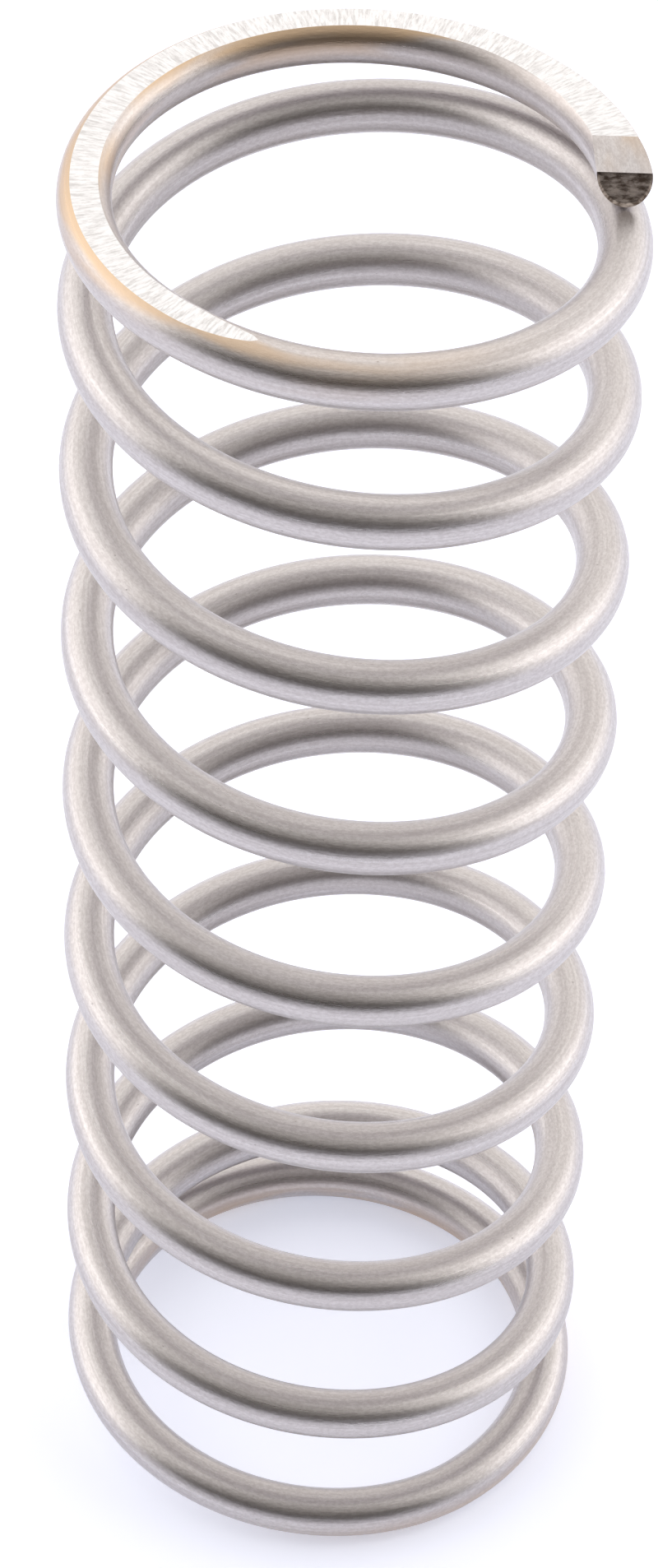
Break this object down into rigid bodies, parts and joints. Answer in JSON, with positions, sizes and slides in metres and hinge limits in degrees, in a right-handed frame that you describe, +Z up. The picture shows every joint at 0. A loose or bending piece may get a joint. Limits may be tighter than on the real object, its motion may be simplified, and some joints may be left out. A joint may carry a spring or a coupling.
{
  "type": "compression spring",
  "caption": "Left-hand compression spring coiled from round stainless wire, with closed, ground ends and evenly open middle coils.",
  "frame": {"origin": "centre of the lower ground face, on the coil axis", "axes": "+Z up along the coil axis, +X towards the upper wire tip; the lower wire tip is at -X"},
  "size_m": [0.03, 0.03, 0.089],
  "materials": {
    "drawn_steel": "satin drawn stainless wire with fine streaks along it",
    "ground_steel": "drawn wire with one bright ground face, scratched across by the wheel"
  },
  "bodies": {
    "bottom_end_coil": {"bottom_end_coil": "ground_steel"},
    "coil_1_back": {"coil_1_back": "drawn_steel"},
    "coil_1_right": {"coil_1_right": "drawn_steel"},
    "coil_1_front": {"coil_1_front": "drawn_steel"},
    "coil_2_left": {"coil_2_left": "drawn_steel"},
    "coil_2_back": {"coil_2_back": "drawn_steel"},
    "coil_2_right": {"coil_2_right": "drawn_steel"},
    "coil_2_front": {"coil_2_front": "drawn_steel"},
    "coil_3_left": {"coil_3_left": "drawn_steel"},
    "coil_3_back": {"coil_3_back": "drawn_steel"},
    "coil_3_right": {"coil_3_right": "drawn_steel"},
    "coil_3_front": {"coil_3_front": "drawn_steel"},
    "coil_4_left": {"coil_4_left": "drawn_steel"},
    "coil_4_back": {"coil_4_back": "drawn_steel"},
    "coil_4_right": {"coil_4_right": "drawn_steel"},
    "coil_4_front": {"coil_4_front": "drawn_steel"},
    "coil_5_left": {"coil_5_left": "drawn_steel"},
    "coil_5_back": {"coil_5_back": "drawn_steel"},
    "coil_5_right": {"coil_5_right": "drawn_steel"},
    "coil_5_front": {"coil_5_front": "drawn_steel"},
    "coil_6_left": {"coil_6_left": "drawn_steel"},
    "coil_6_back": {"coil_6_back": "drawn_steel"},
    "coil_6_right": {"coil_6_right": "drawn_steel"},
    "coil_6_front": {"coil_6_front": "drawn_steel"},
    "coil_7_left": {"coil_7_left": "drawn_steel"},
    "coil_7_back": {"coil_7_back": "drawn_steel"},
    "coil_7_right": {"coil_7_right": "drawn_steel"},
    "coil_7_front": {"coil_7_front": "drawn_steel"},
    "coil_8_left": {"coil_8_left": "drawn_steel"},
    "coil_8_back": {"coil_8_back": "drawn_steel"},
    "top_end_coil": {"top_end_coil": "ground_steel"}
  },
  "joints": [
    {"name": "squeeze", "type": "slide", "parent": "bottom_end_coil", "child": "top_end_coil", "axis": [0, 0, 1], "range_m": [-0.045, 0.008], "stiffness_N_per_m": 3640},
    {"name": "coil_1_back_rise", "type": "slide", "parent": "bottom_end_coil", "child": "coil_1_back", "axis": [0, 0, 1], "range_m": [-0.000751, 0.000134]},
    {"name": "coil_1_right_rise", "type": "slide", "parent": "bottom_end_coil", "child": "coil_1_right", "axis": [0, 0, 1], "range_m": [-0.0023, 0.00041]},
    {"name": "coil_1_front_rise", "type": "slide", "parent": "bottom_end_coil", "child": "coil_1_front", "axis": [0, 0, 1], "range_m": [-0.00386, 0.00069]},
    {"name": "coil_2_left_rise", "type": "slide", "parent": "bottom_end_coil", "child": "coil_2_left", "axis": [0, 0, 1], "range_m": [-0.00541, 0.00096]},
    {"name": "coil_2_back_rise", "type": "slide", "parent": "bottom_end_coil", "child": "coil_2_back", "axis": [0, 0, 1], "range_m": [-0.00696, 0.00124]},
    {"name": "coil_2_right_rise", "type": "slide", "parent": "bottom_end_coil", "child": "coil_2_right", "axis": [0, 0, 1], "range_m": [-0.00852, 0.00152]},
    {"name": "coil_2_front_rise", "type": "slide", "parent": "bottom_end_coil", "child": "coil_2_front", "axis": [0, 0, 1], "range_m": [-0.01007, 0.00179]},
    {"name": "coil_3_left_rise", "type": "slide", "parent": "bottom_end_coil", "child": "coil_3_left", "axis": [0, 0, 1], "range_m": [-0.01162, 0.00207]},
    {"name": "coil_3_back_rise", "type": "slide", "parent": "bottom_end_coil", "child": "coil_3_back", "axis": [0, 0, 1], "range_m": [-0.01318, 0.00234]},
    {"name": "coil_3_right_rise", "type": "slide", "parent": "bottom_end_coil", "child": "coil_3_right", "axis": [0, 0, 1], "range_m": [-0.01473, 0.00262]},
    {"name": "coil_3_front_rise", "type": "slide", "parent": "bottom_end_coil", "child": "coil_3_front", "axis": [0, 0, 1], "range_m": [-0.01629, 0.0029]},
    {"name": "coil_4_left_rise", "type": "slide", "parent": "bottom_end_coil", "child": "coil_4_left", "axis": [0, 0, 1], "range_m": [-0.01784, 0.00317]},
    {"name": "coil_4_back_rise", "type": "slide", "parent": "bottom_end_coil", "child": "coil_4_back", "axis": [0, 0, 1], "range_m": [-0.01939, 0.00345]},
    {"name": "coil_4_right_rise", "type": "slide", "parent": "bottom_end_coil", "child": "coil_4_right", "axis": [0, 0, 1], "range_m": [-0.02095, 0.00372]},
    {"name": "coil_4_front_rise", "type": "slide", "parent": "bottom_end_coil", "child": "coil_4_front", "axis": [0, 0, 1], "range_m": [-0.0225, 0.004]},
    {"name": "coil_5_left_rise", "type": "slide", "parent": "bottom_end_coil", "child": "coil_5_left", "axis": [0, 0, 1], "range_m": [-0.02405, 0.00428]},
    {"name": "coil_5_back_rise", "type": "slide", "parent": "bottom_end_coil", "child": "coil_5_back", "axis": [0, 0, 1], "range_m": [-0.02561, 0.00455]},
    {"name": "coil_5_right_rise", "type": "slide", "parent": "bottom_end_coil", "child": "coil_5_right", "axis": [0, 0, 1], "range_m": [-0.02716, 0.00483]},
    {"name": "coil_5_front_rise", "type": "slide", "parent": "bottom_end_coil", "child": "coil_5_front", "axis": [0, 0, 1], "range_m": [-0.02872, 0.00511]},
    {"name": "coil_6_left_rise", "type": "slide", "parent": "bottom_end_coil", "child": "coil_6_left", "axis": [0, 0, 1], "range_m": [-0.03027, 0.00538]},
    {"name": "coil_6_back_rise", "type": "slide", "parent": "bottom_end_coil", "child": "coil_6_back", "axis": [0, 0, 1], "range_m": [-0.03182, 0.00566]},
    {"name": "coil_6_right_rise", "type": "slide", "parent": "bottom_end_coil", "child": "coil_6_right", "axis": [0, 0, 1], "range_m": [-0.03338, 0.00593]},
    {"name": "coil_6_front_rise", "type": "slide", "parent": "bottom_end_coil", "child": "coil_6_front", "axis": [0, 0, 1], "range_m": [-0.03493, 0.00621]},
    {"name": "coil_7_left_rise", "type": "slide", "parent": "bottom_end_coil", "child": "coil_7_left", "axis": [0, 0, 1], "range_m": [-0.03648, 0.00649]},
    {"name": "coil_7_back_rise", "type": "slide", "parent": "bottom_end_coil", "child": "coil_7_back", "axis": [0, 0, 1], "range_m": [-0.03804, 0.00676]},
    {"name": "coil_7_right_rise", "type": "slide", "parent": "bottom_end_coil", "child": "coil_7_right", "axis": [0, 0, 1], "range_m": [-0.03959, 0.00704]},
    {"name": "coil_7_front_rise", "type": "slide", "parent": "bottom_end_coil", "child": "coil_7_front", "axis": [0, 0, 1], "range_m": [-0.04114, 0.00732]},
    {"name": "coil_8_left_rise", "type": "slide", "parent": "bottom_end_coil", "child": "coil_8_left", "axis": [0, 0, 1], "range_m": [-0.0427, 0.00759]},
    {"name": "coil_8_back_rise", "type": "slide", "parent": "bottom_end_coil", "child": "coil_8_back", "axis": [0, 0, 1], "range_m": [-0.04425, 0.00787]}
  ],
  "couplings": [
    {"joint": "coil_1_back_rise", "follows": "squeeze", "ratio": 0.016667},
    {"joint": "coil_1_right_rise", "follows": "squeeze", "ratio": 0.05119},
    {"joint": "coil_1_front_rise", "follows": "squeeze", "ratio": 0.085714},
    {"joint": "coil_2_left_rise", "follows": "squeeze", "ratio": 0.12024},
    {"joint": "coil_2_back_rise", "follows": "squeeze", "ratio": 0.15476},
    {"joint": "coil_2_right_rise", "follows": "squeeze", "ratio": 0.18929},
    {"joint": "coil_2_front_rise", "follows": "squeeze", "ratio": 0.22381},
    {"joint": "coil_3_left_rise", "follows": "squeeze", "ratio": 0.25833},
    {"joint": "coil_3_back_rise", "follows": "squeeze", "ratio": 0.29286},
    {"joint": "coil_3_right_rise", "follows": "squeeze", "ratio": 0.32738},
    {"joint": "coil_3_front_rise", "follows": "squeeze", "ratio": 0.3619},
    {"joint": "coil_4_left_rise", "follows": "squeeze", "ratio": 0.39643},
    {"joint": "coil_4_back_rise", "follows": "squeeze", "ratio": 0.43095},
    {"joint": "coil_4_right_rise", "follows": "squeeze", "ratio": 0.46548},
    {"joint": "coil_4_front_rise", "follows": "squeeze", "ratio": 0.5},
    {"joint": "coil_5_left_rise", "follows": "squeeze", "ratio": 0.53452},
    {"joint": "coil_5_back_rise", "follows": "squeeze", "ratio": 0.56905},
    {"joint": "coil_5_right_rise", "follows": "squeeze", "ratio": 0.60357},
    {"joint": "coil_5_front_rise", "follows": "squeeze", "ratio": 0.63809},
    {"joint": "coil_6_left_rise", "follows": "squeeze", "ratio": 0.67262},
    {"joint": "coil_6_back_rise", "follows": "squeeze", "ratio": 0.70714},
    {"joint": "coil_6_right_rise", "follows": "squeeze", "ratio": 0.74167},
    {"joint": "coil_6_front_rise", "follows": "squeeze", "ratio": 0.77619},
    {"joint": "coil_7_left_rise", "follows": "squeeze", "ratio": 0.81071},
    {"joint": "coil_7_back_rise", "follows": "squeeze", "ratio": 0.84524},
    {"joint": "coil_7_right_rise", "follows": "squeeze", "ratio": 0.87976},
    {"joint": "coil_7_front_rise", "follows": "squeeze", "ratio": 0.91429},
    {"joint": "coil_8_left_rise", "follows": "squeeze", "ratio": 0.94881},
    {"joint": "coil_8_back_rise", "follows": "squeeze", "ratio": 0.98333}
  ]
}
